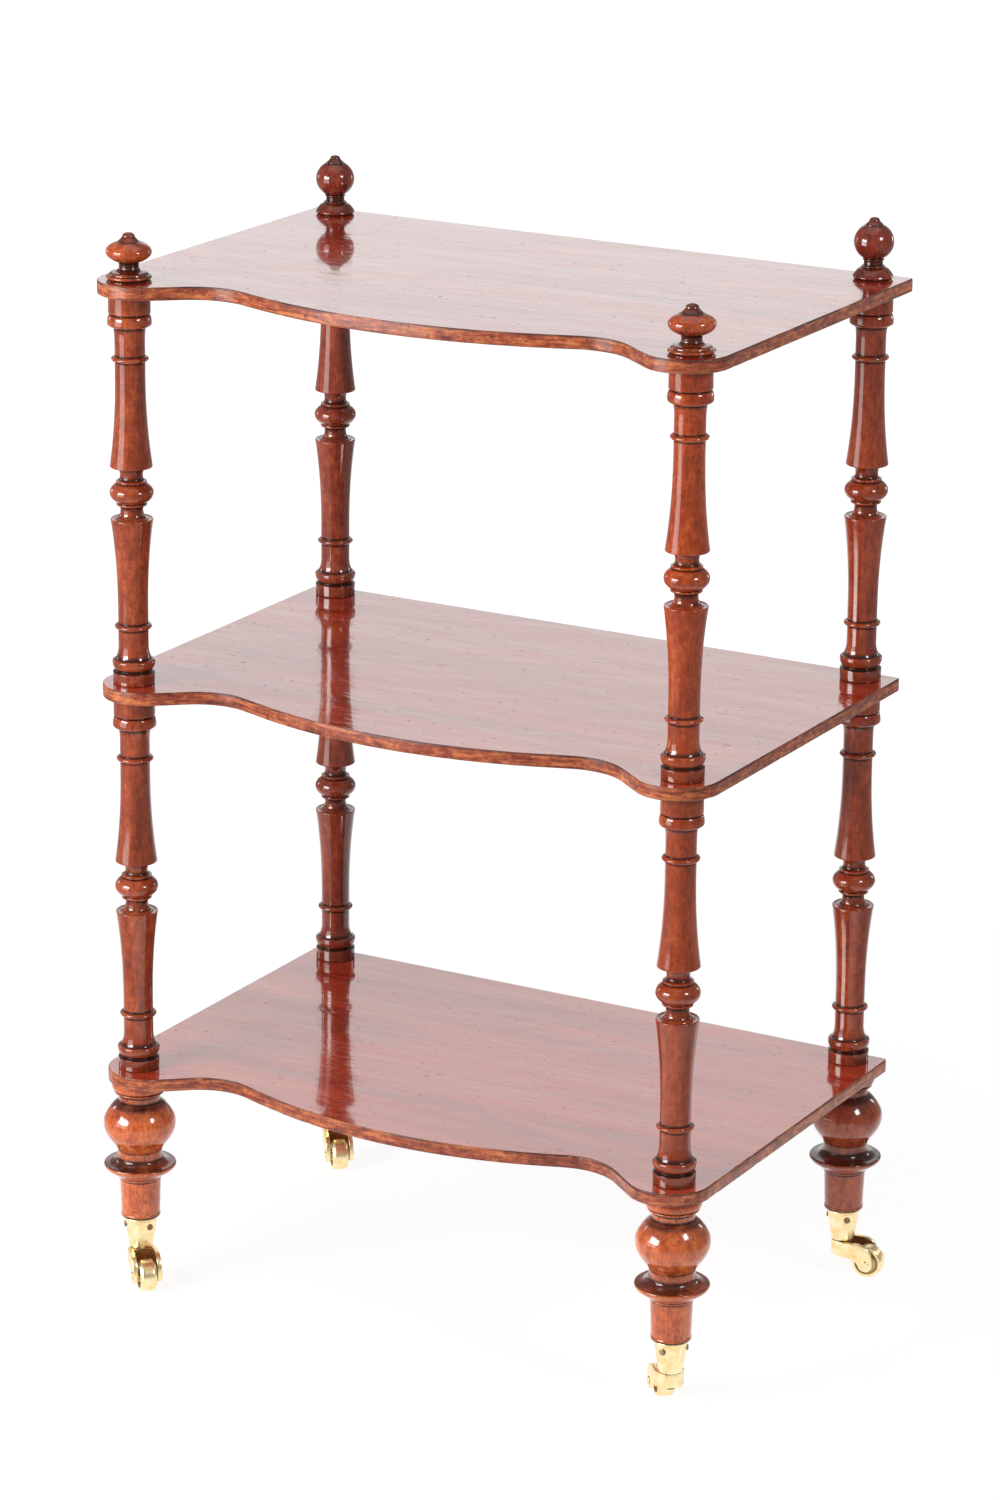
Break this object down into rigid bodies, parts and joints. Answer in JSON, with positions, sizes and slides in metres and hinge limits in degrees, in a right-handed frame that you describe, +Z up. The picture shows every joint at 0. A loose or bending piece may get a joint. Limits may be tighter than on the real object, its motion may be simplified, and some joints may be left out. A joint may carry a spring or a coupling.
{
  "type": "etagere",
  "caption": "Tall open whatnot with serpentine-fronted wooden shelves on turned posts, with finials above and turned feet on swivelling brass castors below.",
  "frame": {"origin": "on the floor, midway between the four posts", "axes": "+Z up, +X to the right, the bowed front of the shelves towards -Y"},
  "size_m": [0.6347, 0.4206, 1.014],
  "materials": {
    "shelf_wood": "french polished mahogany, reflective, straight grain along the width",
    "post_wood": "polished turned mahogany with dark wax in the grooves",
    "foot_wood": "polished turned mahogany, lighter orange with dark stains",
    "brass": "polished cast brass",
    "steel": "darkened steel screws and swivel pins"
  },
  "bodies": {
    "stand": {"bottom_shelf": "shelf_wood", "middle_shelf": "shelf_wood", "top_shelf": "shelf_wood", "finial_front_left": "post_wood", "upper_post_front_left": "post_wood", "lower_post_front_left": "post_wood", "foot_front_left": "foot_wood", "castor_cup_front_left": "brass", "cup_screw_1_front_left": "steel", "cup_screw_2_front_left": "steel", "cup_screw_3_front_left": "steel", "swivel_pin_front_left": "steel", "finial_front_right": "post_wood", "upper_post_front_right": "post_wood", "lower_post_front_right": "post_wood", "foot_front_right": "foot_wood", "castor_cup_front_right": "brass", "cup_screw_1_front_right": "steel", "cup_screw_2_front_right": "steel", "cup_screw_3_front_right": "steel", "swivel_pin_front_right": "steel", "finial_rear_right": "post_wood", "upper_post_rear_right": "post_wood", "lower_post_rear_right": "post_wood", "foot_rear_right": "foot_wood", "castor_cup_rear_right": "brass", "cup_screw_1_rear_right": "steel", "cup_screw_2_rear_right": "steel", "cup_screw_3_rear_right": "steel", "swivel_pin_rear_right": "steel", "finial_rear_left": "post_wood", "upper_post_rear_left": "post_wood", "lower_post_rear_left": "post_wood", "foot_rear_left": "foot_wood", "castor_cup_rear_left": "brass", "cup_screw_1_rear_left": "steel", "cup_screw_2_rear_left": "steel", "cup_screw_3_rear_left": "steel", "swivel_pin_rear_left": "steel"},
    "fork_front_left": {"castor_fork_front_left": "brass", "axle_pin_front_left": "brass"},
    "wheel_front_left": {"castor_wheel_front_left": "brass"},
    "fork_front_right": {"castor_fork_front_right": "brass", "axle_pin_front_right": "brass"},
    "wheel_front_right": {"castor_wheel_front_right": "brass"},
    "fork_rear_right": {"castor_fork_rear_right": "brass", "axle_pin_rear_right": "brass"},
    "wheel_rear_right": {"castor_wheel_rear_right": "brass"},
    "fork_rear_left": {"castor_fork_rear_left": "brass", "axle_pin_rear_left": "brass"},
    "wheel_rear_left": {"castor_wheel_rear_left": "brass"}
  },
  "joints": [
    {"name": "swivel_front_left", "type": "hinge", "parent": "stand", "child": "fork_front_left", "pos_m": [-0.28, -0.1765, 0.0345], "axis": [0, 0, 1], "continuous": true},
    {"name": "roll_front_left", "type": "hinge", "parent": "fork_front_left", "child": "wheel_front_left", "pos_m": [-0.26229, -0.19484, 0.015], "axis": [0.7193, 0.6947, 0], "continuous": true},
    {"name": "swivel_front_right", "type": "hinge", "parent": "stand", "child": "fork_front_right", "pos_m": [0.28, -0.1765, 0.0345], "axis": [0, 0, 1], "continuous": true},
    {"name": "roll_front_right", "type": "hinge", "parent": "fork_front_right", "child": "wheel_front_right", "pos_m": [0.26361, -0.15697, 0.015], "axis": [-0.766, -0.6428, 0], "continuous": true},
    {"name": "swivel_rear_right", "type": "hinge", "parent": "stand", "child": "fork_rear_right", "pos_m": [0.28, 0.1765, 0.0345], "axis": [0, 0, 1], "continuous": true},
    {"name": "roll_rear_right", "type": "hinge", "parent": "fork_rear_right", "child": "wheel_rear_right", "pos_m": [0.30503, 0.18137, 0.015], "axis": [-0.1908, 0.9816, 0], "continuous": true},
    {"name": "swivel_rear_left", "type": "hinge", "parent": "stand", "child": "fork_rear_left", "pos_m": [-0.28, 0.1765, 0.0345], "axis": [0, 0, 1], "continuous": true},
    {"name": "roll_rear_left", "type": "hinge", "parent": "fork_rear_left", "child": "wheel_rear_left", "pos_m": [-0.26395, 0.15668, 0.015], "axis": [0.7771, 0.6293, 0], "continuous": true}
  ]
}
